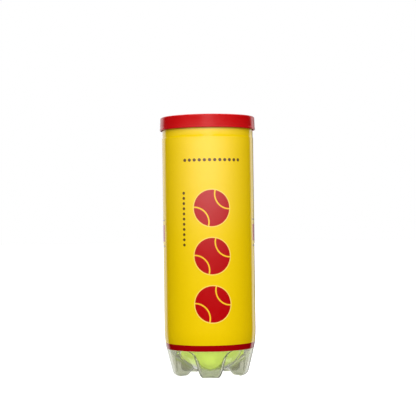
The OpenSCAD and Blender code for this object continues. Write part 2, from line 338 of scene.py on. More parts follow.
def add_piece(name, points, faces, material, body, stands_for, crease=35):
    """A clean mesh piece from points in mm, riding on a body and standing for CAD nodes."""
    mesh = bpy.data.meshes.new(name)
    mesh.from_pydata([Vector(p) * MM for p in points], [], faces)
    work = bmesh.new()
    work.from_mesh(mesh)
    bmesh.ops.remove_doubles(work, verts=work.verts, dist=0.000001)
    bmesh.ops.dissolve_degenerate(work, edges=work.edges, dist=0.000001)
    loose = [v for v in work.verts if not v.link_faces]
    bmesh.ops.delete(work, geom=loose, context="VERTS")
    bmesh.ops.recalc_face_normals(work, faces=work.faces)
    work.to_mesh(mesh)
    work.free()
    mesh.materials.append(material)
    mesh.shade_smooth()
    mesh.set_sharp_from_angle(angle=math.radians(crease))
    piece = bpy.data.objects.new(name, mesh)
    bpy.context.scene.collection.objects.link(piece)
    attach(piece, body)
    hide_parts(*stands_for)
    print(name, "has", len(mesh.polygons), "faces and rides on", body)
    return piece


# %% [markdown]
# ## Clear blown PET
# The bottle is polyethylene terephthalate, stretch-blown in a cold mould: the skin is smooth and
# glossy, faintly grey-green where it is seen edge on, with soft waves where the mould was cold.
# Real PET bends light with an IOR near 1.57. Its waves are some 9 mm apart. The thick base is
# stretched least and is slightly hazy, so the roughness is a little above that of clear sheet.

# %% Clear PET
PET_WAVE = 9.0
pet, tree = start_material("blown_clear_pet")
where = add_node(tree, "TexCoord").outputs["Object"]
waves = add_node(tree, "TexNoise", inputs={
    "Vector": where, "Scale": 1 / (PET_WAVE * MM), "Detail": 1.0, "Roughness": 0.4})
ripple = add_node(tree, "Bump", inputs={
    "Height": waves.outputs[0], "Strength": 0.5, "Distance": 0.12 * MM})
shader = add_node(tree, "BsdfPrincipled", inputs={
    "Base Color": linear("#dfe0d4"), "Roughness": 0.1, "IOR": 1.57,
    "Transmission Weight": 1.0, "Normal": ripple.outputs[0]})
add_node(tree, "OutputMaterial", inputs={"Surface": shader.outputs[0]})
print("PET waves are", PET_WAVE, "mm apart")

# %% [markdown]
# ## Bottle with five feet
# The base is a dome that bulges down between five blown feet, so the gas pressure can't push it
# out. It could be cut with booleans, but a real blown skin has no sharp cut. So the skin is one
# grid: at each point the height blends from the foot's profile to the dome's, with the valley
# between two feet as the blend. The inside is the same grid set in by the wall.

# %% The bottle's own numbers, in mm
BARREL_R = 37.3
WALL = 0.5
BASE_WALL = 0.6
TAPER_Z = 38.0
TAPER_R = 85.0
HEEL_R = 4.0
PAD_IN = 20.0
FOOT_IN = 12.5
DOME_LOW = 3.4
VALLEY_TOP = 22.0
VALLEY_HALF = 8.5
VALLEY_BLEND = 2.4
FEET = 5
SHOULDER_Z = 192.5
NECK_R = 36.95
FLANGE_Z = 208.1
FLANK = math.asin((TAPER_Z - 17) / TAPER_R)


def wall_r(z, inset):
    """Radius of the drawn-in wall at height z."""
    return BARREL_R - TAPER_R + math.sqrt((TAPER_R - inset) ** 2 - (TAPER_Z - z) ** 2)


def dome_z(r, inset):
    """Height of the base dome at radius r."""
    run, rise = wall_r(VALLEY_TOP + inset, inset), VALLEY_TOP - DOME_LOW
    bow = (run * run + rise * rise) / (2 * rise)
    return DOME_LOW + inset + bow - math.sqrt(bow * bow - r * r)


def foot_profile(inset):
    """Foot's outline from the middle of the base up to where the valleys run out."""
    flank_r = BARREL_R - TAPER_R * (1 - math.cos(FLANK))
    heel_z = HEEL_R * (1 - math.sin(FLANK))
    pad_out = flank_r - (17 - heel_z) * math.tan(FLANK) - HEEL_R * math.cos(FLANK)
    line = [(r, dome_z(r, inset)) for r in (0, 2, 4, 6, 8, 9.5, 11, 12)]
    start = (FOOT_IN + inset, dome_z(FOOT_IN + inset, inset))
    pad = (PAD_IN + inset / 2, inset)
    for s in range(9):
        t = s / 8
        ease = t * t * (3 - 2 * t) * 0.35 + t * 0.65
        line.append((start[0] + (pad[0] - start[0]) * t, start[1] + (pad[1] - start[1]) * ease))
    line += [(pad[0] + (pad_out - pad[0]) * s / 5, inset) for s in range(1, 5)]
    for s in range(11):
        a = (math.pi / 2 - FLANK) * s / 10
        size = HEEL_R - inset
        line.append((pad_out + size * math.sin(a), HEEL_R - size * math.cos(a)))
    low, high = line[-1], (wall_r(17, inset), 17)
    line += [(low[0] + (high[0] - low[0]) * s / 12, low[1] + (high[1] - low[1]) * s / 12)
             for s in range(1, 12)]
    line += [(wall_r(z, inset), z) for z in (17, 18, 19, 20, 21, VALLEY_TOP + inset)]
    return line


def skin_height(r, z, turn, inset):
    """Height of the base skin: the foot's outline, lifted to the dome in the valleys."""
    lifted = dome_z(r, inset)
    half = VALLEY_HALF + inset
    if z > 14:
        half *= math.sqrt(max(0.05, 1 - ((z - 14) / 9.5) ** 2))
    pitch = 2 * math.pi / FEET
    from_valley = abs((turn % pitch) - pitch / 2)
    aside = r * math.sin(from_valley)
    blend = VALLEY_BLEND + 0.02 * r
    t = min(1.0, max(0.0, (aside - half + blend) / (2 * blend)))
    foot = t * t * (3 - 2 * t)
    return lifted - (lifted - min(z, lifted)) * foot


print("dome edge at radius", round(wall_r(VALLEY_TOP, 0), 2), "mm")

# %% Grow the bottle's skin
COLUMNS = 400
rows = []
for r, z in foot_profile(0):
    rows.append([(r, skin_height(r, z, 2 * math.pi * k / COLUMNS, 0)) for k in range(COLUMNS)])
straight = [(wall_r(z, 0), z) for z in (24, 26, 28, 31, 34, 36, 38)]
straight += [(BARREL_R, 38 + (SHOULDER_Z - 38.6) * s / 10) for s in range(1, 11)]
top = rounded([(BARREL_R, SHOULDER_Z, 0.5), (NECK_R, SHOULDER_Z + 0.8, 0.5),
               (NECK_R, FLANGE_Z - 0.5, 0.1), (37.23, FLANGE_Z - 0.5, 0.08),
               (37.23, FLANGE_Z - 1.6, 0.05), (37.67, FLANGE_Z - 1.6, 0.05),
               (37.67, FLANGE_Z, 0.2), (36.45, FLANGE_Z, 0.15),
               (36.45, SHOULDER_Z + 0.8, 0.5), (BARREL_R - WALL, SHOULDER_Z, 0.5),
               (BARREL_R - WALL, 100, 0)], 3)[:-1]
back = [(BARREL_R - WALL, 38 + (SHOULDER_Z - 38.6) * s / 10) for s in range(9, 0, -1)]
back += [(wall_r(z, WALL), z) for z in (38, 36, 34, 31, 28, 26, 24)]
for r, z in straight + top + back:
    rows.append([(r, z)] * COLUMNS)
for r, z in reversed(foot_profile(BASE_WALL)):
    rows.append([(r, skin_height(r, z, 2 * math.pi * k / COLUMNS, BASE_WALL))
                 for k in range(COLUMNS)])
points, faces = [], []
for row in rows:
    for k, (r, z) in enumerate(row):
        a = 2 * math.pi * k / COLUMNS
        points.append((r * math.sin(a), -r * math.cos(a), z))
for j in range(len(rows) - 1):
    for k in range(COLUMNS):
        k2 = (k + 1) % COLUMNS
        faces.append((j * COLUMNS + k, j * COLUMNS + k2,
                      (j + 1) * COLUMNS + k2, (j + 1) * COLUMNS + k))
add_piece("bottle", points, faces, pet, "can", ["can_body"], 50)

# %% [markdown]
# ## Printed shrink film
# The sleeve is thin oriented film, printed on its inside and shrunk tight, so the colour lies
# under a very smooth clear skin: that gives a soft yellow body with crisp bright edges. The
# print is generic: a stack of three red balls, rows of small dots where small print would be,
# and a red band at the foot. It is worked out from the angle round the can and the height, in
# millimetres, and comes twice round the can.

# %% Sizes of the print, in mm
SLEEVE_R = 37.4
REPEAT = math.pi * SLEEVE_R
DISC_R = 14.4
DISC_PITCH = 38.0
DISC_MIDDLE = 97.5
DISC_ASIDE = 2.7
OUTLINE = 0.75
DOT_R = 1.3
DOT_PITCH = 4.1
ROW_ASIDE = 3.5
ROW_Z = 173.6
ROW_DOTS = 12
COLUMN_ASIDE = -20.4
COLUMN_Z = 127.0
COLUMN_DOTS = 11
BAND = (22.1, 26.9)
PANEL_FROM = REPEAT / 2 - 12
PANEL_Z = (109.0, 122.5)
TILT = math.radians(38)
PRINT_SEAM_HALF = 0.55
RULE_FAR = 10.5
RULE_HALF = 0.5
COLUMN_DOT_R = 0.9 * DOT_R
print("the print repeats every", round(REPEAT, 1), "mm")

# %% Printed film
film, tree = start_material("printed_shrink_film")
where = add_node(tree, "TexCoord").outputs["Object"]
parts = add_node(tree, "SeparateXYZ", inputs={0: where})
known = {"x": parts.outputs[0], "y": parts.outputs[1], "z": parts.outputs[2]}
for name, operation, *terms in [
        ("front", "MULTIPLY", "y", -1.0),
        ("turn", "ARCTAN2", "x", "front"),
        ("round", "MULTIPLY", "turn", SLEEVE_R),
        ("height", "MULTIPLY", "z", 1000.0),
        ("across", "WRAP", "round", REPEAT / 2, -REPEAT / 2),
        # stack of balls
        ("ball_x", "SUBTRACT", "across", DISC_ASIDE),
        ("ball_up", "SUBTRACT", "height", DISC_MIDDLE),
        ("ball_y", "WRAP", "ball_up", DISC_PITCH / 2, -DISC_PITCH / 2),
        ("ball_xx", "MULTIPLY", "ball_x", "ball_x"),
        ("ball_yy", "MULTIPLY", "ball_y", "ball_y"),
        ("ball_rr", "ADD", "ball_xx", "ball_yy"),
        ("ball_far", "SQRT", "ball_rr"),
        ("stack_off", "ABSOLUTE", "ball_up"),
        ("stack", "LESS_THAN", "stack_off", 1.5 * DISC_PITCH),
        ("outline_all", "LESS_THAN", "ball_far", DISC_R + OUTLINE),
        ("outline", "MULTIPLY", "outline_all", "stack"),
        ("disc_all", "LESS_THAN", "ball_far", DISC_R),
        ("disc", "MULTIPLY", "disc_all", "stack"),
        # curved seam drawn on each ball
        ("lean_a", "MULTIPLY", "ball_x", math.cos(TILT)),
        ("lean_b", "MULTIPLY", "ball_y", math.sin(TILT)),
        ("lean_x", "ADD", "lean_a", "lean_b"),
        ("lean_c", "MULTIPLY", "ball_x", -math.sin(TILT)),
        ("lean_d", "MULTIPLY", "ball_y", math.cos(TILT)),
        ("lean_y", "ADD", "lean_c", "lean_d"),
        ("lean_side", "ABSOLUTE", "lean_x"),
        ("bow_x", "SUBTRACT", "lean_side", 1.25 * DISC_R),
        ("bow_xx", "MULTIPLY", "bow_x", "bow_x"),
        ("bow_yy", "MULTIPLY", "lean_y", "lean_y"),
        ("bow_rr", "ADD", "bow_xx", "bow_yy"),
        ("bow_far", "SQRT", "bow_rr"),
        ("bow_off", "SUBTRACT", "bow_far", 0.82 * DISC_R),
        ("bow_near", "ABSOLUTE", "bow_off"),
        ("bow", "LESS_THAN", "bow_near", PRINT_SEAM_HALF),
        ("seam", "MULTIPLY", "bow", "disc"),
        # row of dots near the top
        ("row_x", "SUBTRACT", "across", ROW_ASIDE),
        ("row_u", "WRAP", "row_x", DOT_PITCH, 0.0),
        ("row_c", "SUBTRACT", "row_u", DOT_PITCH / 2),
        ("row_v", "SUBTRACT", "height", ROW_Z),
        ("row_uu", "MULTIPLY", "row_c", "row_c"),
        ("row_vv", "MULTIPLY", "row_v", "row_v"),
        ("row_rr", "ADD", "row_uu", "row_vv"),
        ("row_dot", "LESS_THAN", "row_rr", DOT_R ** 2),
        ("row_off", "ABSOLUTE", "row_x"),
        ("row_in", "LESS_THAN", "row_off", ROW_DOTS * DOT_PITCH / 2),
        ("row", "MULTIPLY", "row_dot", "row_in"),
        # column of dots beside the stack
        ("col_x", "SUBTRACT", "across", COLUMN_ASIDE),
        ("col_y", "SUBTRACT", "height", COLUMN_Z),
        ("col_w", "WRAP", "col_y", DOT_PITCH / 2, -DOT_PITCH / 2),
        ("col_xx", "MULTIPLY", "col_x", "col_x"),
        ("col_ww", "MULTIPLY", "col_w", "col_w"),
        ("col_rr", "ADD", "col_xx", "col_ww"),
        ("col_dot", "LESS_THAN", "col_rr", COLUMN_DOT_R ** 2),
        ("col_off", "ABSOLUTE", "col_y"),
        ("col_in", "LESS_THAN", "col_off", COLUMN_DOTS * DOT_PITCH / 2),
        ("column", "MULTIPLY", "col_dot", "col_in"),
        ("dots", "MAXIMUM", "row", "column"),
        # plain side panel, where the two repeats meet
        ("side", "ABSOLUTE", "across"),
        ("panel_x", "GREATER_THAN", "side", PANEL_FROM),
        ("panel_low", "GREATER_THAN", "height", PANEL_Z[0]),
        ("panel_high", "LESS_THAN", "height", PANEL_Z[1]),
        ("panel_y", "MULTIPLY", "panel_low", "panel_high"),
        ("panel", "MULTIPLY", "panel_x", "panel_y"),
        # thin rules above and below the side panel
        ("rule_up", "SUBTRACT", "height", (PANEL_Z[0] + PANEL_Z[1]) / 2),
        ("rule_far", "ABSOLUTE", "rule_up"),
        ("rule_near", "SUBTRACT", "rule_far", RULE_FAR),
        ("rule_off", "ABSOLUTE", "rule_near"),
        ("rule_y", "LESS_THAN", "rule_off", RULE_HALF),
        ("rule", "MULTIPLY", "rule_y", "panel_x"),
        ("small", "MAXIMUM", "dots", "rule"),
        # band at the foot and the bare edge under it
        ("band", "LESS_THAN", "height", BAND[1]),
        ("bare", "LESS_THAN", "height", BAND[0])]:
    wires = {i: known[t] if isinstance(t, str) else t for i, t in enumerate(terms)}
    known[name] = add_node(tree, "Math", {"operation": operation}, wires).outputs[0]
print("print worked out in", len(tree.nodes), "steps")

# %% Lay the inks over each other
INK_CLOUD = 3.0
clouds = add_node(tree, "TexNoise", inputs={
    "Vector": where, "Scale": 1 / (INK_CLOUD * MM), "Detail": 3.0, "Roughness": 0.6})
ink = add_node(tree, "Mix", {"data_type": "RGBA"}, {
    0: clouds.outputs[0], 6: linear("#f3cb00"), 7: linear("#f7d200")}).outputs[2]
for mask, colour in [
        ("outline", "#ffd86a"), ("disc", "#bb0005"), ("seam", "#ffcf2e"), ("small", "#63400c"),
        ("panel", "#b80008"), ("band", "#a80008"), ("bare", "#f3e6b4")]:
    ink = add_node(tree, "Mix", {"data_type": "RGBA"}, {
        0: known[mask], 6: ink, 7: linear(colour)}).outputs[2]
FILM_PULL = 14.0
pull = add_node(tree, "TexNoise", inputs={
    "Vector": where, "Scale": 1 / (FILM_PULL * MM), "Detail": 1.0})
tight = add_node(tree, "Bump", inputs={
    "Height": pull.outputs[0], "Strength": 0.35, "Distance": 0.08 * MM})
shader = add_node(tree, "BsdfPrincipled", inputs={
    "Base Color": ink, "Roughness": 0.13, "IOR": 1.57, "Normal": tight.outputs[0]})
add_node(tree, "OutputMaterial", inputs={"Surface": shader.outputs[0]})
print("film has", len(tree.nodes), "nodes")

# %% [markdown]
# ## Sleeve
# The film is only 0.08 mm thick, but it is a real tube here, with an inside, two cut edges and
# the lap at the back where it was welded. It follows the barrel down into the taper and up over
# the shoulder.

# %% Turn the sleeve
FILM_IN = 0.02
FILM_OUT = 0.10
LAP_HALF = 2.2
LAP_RISE = 0.05
heights = [22 + 16 * s / 12 for s in range(13)]
outside = [(wall_r(z, -FILM_OUT), z) for z in heights]
outside += [(BARREL_R + FILM_OUT, 38 + (SHOULDER_Z - 38.5) * s / 12) for s in range(1, 13)]
outside += [(BARREL_R + FILM_OUT - 0.04, SHOULDER_Z + 0.05), (NECK_R + FILM_OUT + 0.05, 193.2),
            (NECK_R + FILM_OUT, 193.6), (NECK_R + FILM_OUT, 201)]
inside = [(NECK_R + FILM_IN, 201), (NECK_R + FILM_IN, 193.3), (BARREL_R + FILM_IN, SHOULDER_Z)]
inside += [(wall_r(z, -FILM_IN), z) for z in reversed(heights)]
points, faces = spun(outside + inside, 288)
lapped = []
for x, y, z in points:
    r = math.hypot(x, y)
    if y > 0 and abs(x) < LAP_HALF and r > wall_r(min(z, TAPER_Z), -FILM_IN) + 0.01:
        x, y = x * (r + LAP_RISE) / r, y * (r + LAP_RISE) / r
    lapped.append((x, y, z))
add_piece("sleeve", lapped, faces, film, "can", ["label_sleeve"], 60)

# %% [markdown]
# ## Lid plastic
# The lid is injection-moulded low-density polyethylene: a waxy red with a soft gloss, a trace of
# light passing just under its skin, and the fine orange-peel of the mould, some 0.6 mm across.
# Its IOR is near 1.51, but the waxy skin shines less than that alone would give, so its specular
# level is turned down. Thumb scuffs dull it a little in patches of about 12 mm.

# %% Red moulded polyethylene
PEEL = 0.6
SCUFF = 12.0
lid_plastic, tree = start_material("moulded_red_polyethylene")
where = add_node(tree, "TexCoord").outputs["Object"]
peel = add_node(tree, "TexNoise", inputs={
    "Vector": where, "Scale": 1 / (PEEL * MM), "Detail": 2.0})
scuffs = add_node(tree, "TexNoise", inputs={
    "Vector": where, "Scale": 1 / (SCUFF * MM), "Detail": 4.0, "Roughness": 0.65})
dye = add_node(tree, "Mix", {"data_type": "RGBA"}, {
    0: scuffs.outputs[0], 6: linear("#bf0003"), 7: linear("#c70005")})
gloss = add_node(tree, "MapRange", inputs={
    "Value": scuffs.outputs[0], "From Min": 0.3, "From Max": 0.7, "To Min": 0.17, "To Max": 0.25})
skin = add_node(tree, "Bump", inputs={
    "Height": peel.outputs[0], "Strength": 0.25, "Distance": 0.02 * MM})
shader = add_node(tree, "BsdfPrincipled", inputs={
    "Base Color": dye.outputs[2], "Roughness": gloss.outputs[0], "IOR": 1.51,
    "Specular IOR Level": 0.32,
    "Subsurface Weight": 0.06, "Subsurface Radius": (1.0, 0.2, 0.1), "Subsurface Scale": 0.6 * MM,
    "Normal": skin.outputs[0]})
add_node(tree, "OutputMaterial", inputs={"Surface": shader.outputs[0]})
print("peel", PEEL, "mm, scuffs", SCUFF, "mm")

# %% [markdown]
# ## Lid
# The lid is one moulding: a skirt with a thicker lip, a raised rim that the next can's feet sit
# inside, a shallow recessed top with two stiffening rings and the gate mark in the middle, and
# six short beads inside that catch under the seam.

# %% Turn the lid and add its snap beads
LID_R = 39.0
LID_IN = 38.25
LID_LOW = 199.3
LID_TOP = 210.0
RECESS_Z = 209.6
UNDER_Z = 209.0
lid_corners = [
    (0, UNDER_Z, 0), (24, UNDER_Z, 0.2), (24.4, UNDER_Z - 0.15, 0.2), (25.6, UNDER_Z - 0.15, 0.2),
    (26, UNDER_Z, 0.2), (LID_IN, UNDER_Z, 0.7), (LID_IN, LID_LOW + 0.25, 0.1),
    (LID_IN + 0.2, LID_LOW, 0.15), (LID_R, LID_LOW, 0.22), (LID_R, LID_LOW + 1.35, 0.18),
    (LID_R - 0.16, LID_LOW + 1.7, 0.15), (LID_R - 0.46, LID_TOP, 2.2),
    (35.75, LID_TOP, 0.35), (35.35, RECESS_Z, 0.35), (28.8, RECESS_Z, 0.2),
    (28.5, RECESS_Z + 0.18, 0.15), (27.7, RECESS_Z + 0.18, 0.15), (27.4, RECESS_Z, 0.2),
    (12.6, RECESS_Z, 0.2), (12.35, RECESS_Z + 0.15, 0.12), (11.65, RECESS_Z + 0.15, 0.12),
    (11.4, RECESS_Z, 0.2), (2.2, RECESS_Z, 0.2), (1.8, RECESS_Z - 0.2, 0.2),
    (0.7, RECESS_Z - 0.2, 0.1), (0.55, RECESS_Z - 0.02, 0.1), (0, RECESS_Z - 0.02, 0)]
points, faces = spun(rounded(lid_corners, 5), 256)
BEAD_Z = 205.0
BEADS = 6
BEAD_ARC = math.radians(30)
BEAD_STEPS = 16
for b in range(BEADS):
    first = len(points)
    for s in range(BEAD_STEPS + 1):
        a = 2 * math.pi * b / BEADS + BEAD_ARC * (s / BEAD_STEPS - 0.5)
        fade = math.sin(math.pi * s / BEAD_STEPS) ** 0.4
        for depth, rise in ((0.1, -0.4), (-0.09, -0.16), (-0.15, 0), (-0.09, 0.16), (0.1, 0.4)):
            r = LID_IN + (depth if depth > 0 else depth * fade)
            points.append((r * math.cos(a), r * math.sin(a), BEAD_Z + rise))
    for s in range(BEAD_STEPS):
        here, there = first + 5 * s, first + 5 * (s + 1)
        faces += [(here + i, here + (i + 1) % 5, there + (i + 1) % 5, there + i)
                  for i in range(5)]
    faces += [tuple(range(first, first + 5)), tuple(range(len(points) - 5, len(points)))]
add_piece("lid", points, faces, lid_plastic, "lid", ["overcap"], 40)

# %% [markdown]
# ## Can-end aluminium
# The end is rolled aluminium sheet under a clear lacquer. Rolling leaves fine lines all one way,
# which stretch the highlights across them; they are drawn 0.25 mm apart, coarser than real ones,
# so that they show. The lacquer gives a thin even gloss. A metal keeps the default IOR.

# %% Rolled and lacquered aluminium
ROLL_LINE = 0.25
HAZE_PER_METRE = 120.0
ROUGH_SPREAD = 0.12
metals = {}
for name, colour, blur in (("lacquered_end_aluminium", "#d3d4d6", 0.26),
                           ("lacquered_panel_aluminium", "#d9dadb", 0.24),
                           ("bright_tab_aluminium", "#d0d2d5", 0.2)):
    metal, tree = start_material(name)
    where = add_node(tree, "TexCoord").outputs["Object"]
    along = add_node(tree, "Mapping", inputs={"Vector": where, "Scale": (0.02, 1.0, 1.0)})
    lines = add_node(tree, "TexNoise", inputs={
        "Vector": along.outputs[0], "Scale": 1 / (ROLL_LINE * MM), "Detail": 3.0})
    haze = add_node(tree, "TexNoise", inputs={
        "Vector": where, "Scale": HAZE_PER_METRE, "Detail": 3.0})
    shade = add_node(tree, "Mix", {"data_type": "RGBA"}, {
        0: lines.outputs[0], 6: linear(colour), 7: linear("#b9bbbf")})
    rough = add_node(tree, "MapRange", inputs={
        "Value": haze.outputs[0], "From Min": 0.25, "From Max": 0.75,
        "To Min": blur, "To Max": blur + ROUGH_SPREAD})
    relief = add_node(tree, "Bump", inputs={
        "Height": lines.outputs[0], "Strength": 0.3, "Distance": 0.008 * MM})
    shader = add_node(tree, "BsdfPrincipled", inputs={
        "Base Color": shade.outputs[2], "Metallic": 1.0, "Roughness": rough.outputs[0],
        "Anisotropic": 0.35, "Coat Weight": 0.3, "Coat Roughness": 0.12,
        "Normal": relief.outputs[0]})
    add_node(tree, "OutputMaterial", inputs={"Surface": shader.outputs[0]})
    metals[name] = metal
print("made", ", ".join(metals))

# %% [markdown]
# ## Seamed ring
# When the panel is torn out, this ring stays on the can. Its sheet is rolled over the bottle's
# flange in a double seam, runs down the chuck wall and turns up to the lip that the score was
# pressed in. It is one profile, with every fold rounded as sheet really bends.

# %% Turn the seamed ring
SHEET = 0.25
SEAM_R = 37.95
SEAM_TOP = 208.7
SEAM_LOW = 205.9
CHUCK_R = 36.15
SINK_Z = 201.9
SINK_R = 35.0
MOUTH_R = 34.3
LIP_Z = 203.3
ring_corners = [
    (MOUTH_R, LIP_Z, 0.08), (SINK_R, LIP_Z, 0.2), (SINK_R, SINK_Z, 0.5),
    (CHUCK_R + SHEET, SINK_Z, 0.5), (CHUCK_R + SHEET, SEAM_TOP - SHEET, 0.2),
    (SEAM_R - SHEET, SEAM_TOP - SHEET, 0.3), (SEAM_R - SHEET, SEAM_LOW + SHEET, 0.12),
    (37.2, SEAM_LOW + SHEET, 0.08), (37.2, 207.5, 0.08), (36.98, 207.5, 0.08),
    (36.98, SEAM_LOW, 0.25), (SEAM_R, SEAM_LOW, 0.4), (SEAM_R, SEAM_TOP, 0.7),
    (CHUCK_R, SEAM_TOP, 0.5), (CHUCK_R, SINK_Z + SHEET, 0.3),
    (SINK_R + SHEET, SINK_Z + SHEET, 0.3), (SINK_R + SHEET, LIP_Z + SHEET, 0.25),
    (MOUTH_R, LIP_Z + SHEET, 0.08)]
points, faces = spun(rounded(ring_corners, 4), 256)
add_piece("seamed_ring", points, faces, metals["lacquered_end_aluminium"], "can",
          ["end_ring"], 45)

# %% [markdown]
# ## Tear-out panel
# The panel has a raised rim with the pressed score round it, a step down to the flat, and a
# stiffening bead. The rivet isn't a separate part: a bubble is drawn up from the sheet and
# headed over the tab, so it belongs to this piece.

# %% Turn the panel and its rivet
PANEL_Z0 = 202.95
PANEL_R = 34.15
RIVET_Y = 25.0
LID_SIDE = PANEL_Z0 + SHEET
panel_corners = [
    (0, PANEL_Z0, 0), (23.5, PANEL_Z0, 0.4), (24.1, PANEL_Z0 + 0.2, 0.4),
    (25.6, PANEL_Z0 + 0.2, 0.4), (26.2, PANEL_Z0, 0.4), (29.6, PANEL_Z0, 0.5),
    (30.5, LIP_Z, 0.5), (PANEL_R, LIP_Z, 0.06), (PANEL_R, LIP_Z + SHEET, 0.08),
    (33.75, LIP_Z + SHEET, 0.1), (33.6, LIP_Z + SHEET - 0.1, 0.06),
    (33.45, LIP_Z + SHEET, 0.1), (30.4, LIP_Z + SHEET, 0.5), (29.5, LID_SIDE, 0.5),
    (26.3, LID_SIDE, 0.4), (25.7, LID_SIDE + 0.2, 0.4), (24.0, LID_SIDE + 0.2, 0.4),
    (23.4, LID_SIDE, 0.4), (17.2, LID_SIDE, 0.15), (17.0, LID_SIDE + 0.08, 0.1),
    (16.6, LID_SIDE + 0.08, 0.1), (16.4, LID_SIDE, 0.15), (0, LID_SIDE, 0)]
points, faces = spun(rounded(panel_corners, 4), 224)
rivet_corners = [
    (0, LID_SIDE - 0.12, 0), (3.9, LID_SIDE - 0.12, 0.1), (3.4, 203.75, 0.3),
    (2.3, 203.75, 0.1), (2.3, 204.13, 0.05), (3.1, 204.13, 0.1), (3.1, 204.38, 0.2),
    (2.5, 204.7, 0.25), (1.9, 204.68, 0.15), (1.5, 204.4, 0.2), (0, 204.34, 0)]
rivet_points, rivet_faces = spun(rounded(rivet_corners, 4), 64)
shift = len(points)
points += [(x, y - RIVET_Y, z) for x, y, z in rivet_points]
faces += [tuple(i + shift for i in face) for face in rivet_faces]
add_piece("tear_out_panel", points, faces, metals["lacquered_panel_aluminium"], "panel",
          ["tear_panel"], 45)

# %% [markdown]
# ## Ring pull
# The tab is stamped from flat strip and its edges are curled under, so a finger meets a round
# roll and not a cut edge. Each curl is a tube swept along its edge, and the flat web between
# them is a filled outline with two holes: one for the finger and one round the riveted tongue.

# %% Sweep a tube along a closed line


def swept(path, radius, sides=12):
    """Points and faces of a round tube along a closed level path of (x, y, z)."""
    spots, faces, n = [], [], len(path)
    for i in range(n):
        here = Vector(path[i])
        ahead = (Vector(path[(i + 1) % n]) - Vector(path[i - 1])).normalized()
        aside = ahead.cross(Vector((0, 0, 1))).normalized()
        for s in range(sides):
            a = 2 * math.pi * s / sides
            spots.append(here + aside * (radius * math.cos(a)) + Vector((0, 0, radius * math.sin(a))))
        for s in range(sides):
            faces.append((i * sides + s, i * sides + (s + 1) % sides,
                          (i + 1) % n * sides + (s + 1) % sides, (i + 1) % n * sides + s))
    return spots, faces


TAB_Z = 204.35
HINGE_Y = -30.6
RING_Y = -9.2
CURL = 0.6
WINDOW_CURL = 0.3
WINDOW_WIDEN = 1.16
WEB_HALF = 0.13
WEB_EDGE = 0.07
EDGE_R = 11.4
HOLE_R = 9.1
outline = []
for s in range(49):
    a = math.radians(-15 + 210 * s / 48)
    outline.append((EDGE_R * math.cos(a), RING_Y + EDGE_R * math.sin(a)))
outline += [(-9.6, -17.2), (-8.3, -22.0), (-7.1, -26.4), (-6.5, -28.9), (-6.1, -30.0)]
outline += [(-5.3, HINGE_Y + 0.05), (-2.6, HINGE_Y), (0, HINGE_Y), (2.6, HINGE_Y),
            (5.3, HINGE_Y + 0.05)]
outline += [(6.1, -30.0), (6.5, -28.9), (7.1, -26.4), (8.3, -22.0), (9.6, -17.2)]
edge = [(x, y, TAB_Z) for x, y in outline]
hole = [(HOLE_R * math.cos(2 * math.pi * s / 48), RING_Y + HOLE_R * math.sin(2 * math.pi * s / 48))
        for s in range(48)]
window = [(-4.3, -28.7), (4.3, -28.7), (4.3, -19.5), (-4.3, -19.5)]
print("ring pull outline has", len(outline), "points")

# %% Stamp the web and join the curls
web_curve = bpy.data.curves.new("web", "CURVE")
web_curve.dimensions = "2D"
web_curve.fill_mode = "BOTH"
web_curve.extrude = WEB_HALF
web_curve.bevel_depth = WEB_EDGE
for loop in (outline, hole, window):
    spline = web_curve.splines.new("POLY")
    spline.points.add(len(loop) - 1)
    for spot, (x, y) in zip(spline.points, loop):
        spot.co = (x, y, 0, 1)
    spline.use_cyclic_u = True
web_object = bpy.data.objects.new("web", web_curve)
web_mesh = bpy.data.meshes.new_from_object(web_object)
points = [(v.co.x, v.co.y, v.co.z + TAB_Z - 0.1) for v in web_mesh.vertices]
faces = [tuple(p.vertices) for p in web_mesh.polygons]
bpy.data.objects.remove(web_object)
bpy.data.curves.remove(web_curve)
bpy.data.meshes.remove(web_mesh)
for path, size in ((edge, CURL), ([(x, y, TAB_Z) for x, y in hole], CURL),
                   ([(x * WINDOW_WIDEN, y, TAB_Z - 0.05) for x, y in window], WINDOW_CURL)):
    tube_points, tube_faces = swept(path, size)
    shift = len(points)
    points += tube_points
    faces += [tuple(i + shift for i in face) for face in tube_faces]
add_piece("ring_pull", points, faces, metals["bright_tab_aluminium"], "ring_pull",
          ["pull_tab"], 40)

# %% [markdown]
# ## Woven felt
# Ball cloth is wool and nylon woven, then brushed into a nap and dyed optic yellow. It scatters
# light almost evenly, brightens towards its edges where fibres stand up (sheen), and mottles
# where tufts of about 2 mm lie different ways over a fibre grain of about 0.4 mm.

# %% Brushed optic-yellow felt
TUFT = 2.2
FIBRE = 0.45
felt, tree = start_material("brushed_wool_nylon_felt")
where = add_node(tree, "TexCoord").outputs["Object"]
tufts = add_node(tree, "TexNoise", inputs={
    "Vector": where, "Scale": 1 / (TUFT * MM), "Detail": 4.0, "Roughness": 0.6})
stretch = add_node(tree, "Mapping", inputs={
    "Vector": where, "Rotation": (0.5, 0.7, 0.2), "Scale": (1.0, 0.3, 0.6)})
fibres = add_node(tree, "TexNoise", inputs={
    "Vector": stretch.outputs[0], "Scale": 1 / (FIBRE * MM), "Detail": 3.0, "Distortion": 0.8})
dye = add_node(tree, "Mix", {"data_type": "RGBA"}, {
    0: tufts.outputs[0], 6: linear("#bfe247"), 7: linear("#e2fb6c")})
deep = add_node(tree, "MapRange", inputs={
    "Value": fibres.outputs[0], "From Min": 0.3, "From Max": 0.7, "To Min": 0.0, "To Max": 0.4})
shade = add_node(tree, "Mix", {"data_type": "RGBA"}, {
    0: deep.outputs[0], 6: dye.outputs[2], 7: linear("#eef78e")})
high = add_node(tree, "Math", {"operation": "ADD"}, {0: tufts.outputs[0], 1: fibres.outputs[0]})
nap = add_node(tree, "Bump", inputs={
    "Height": high.outputs[0], "Strength": 0.8, "Distance": 0.35 * MM})
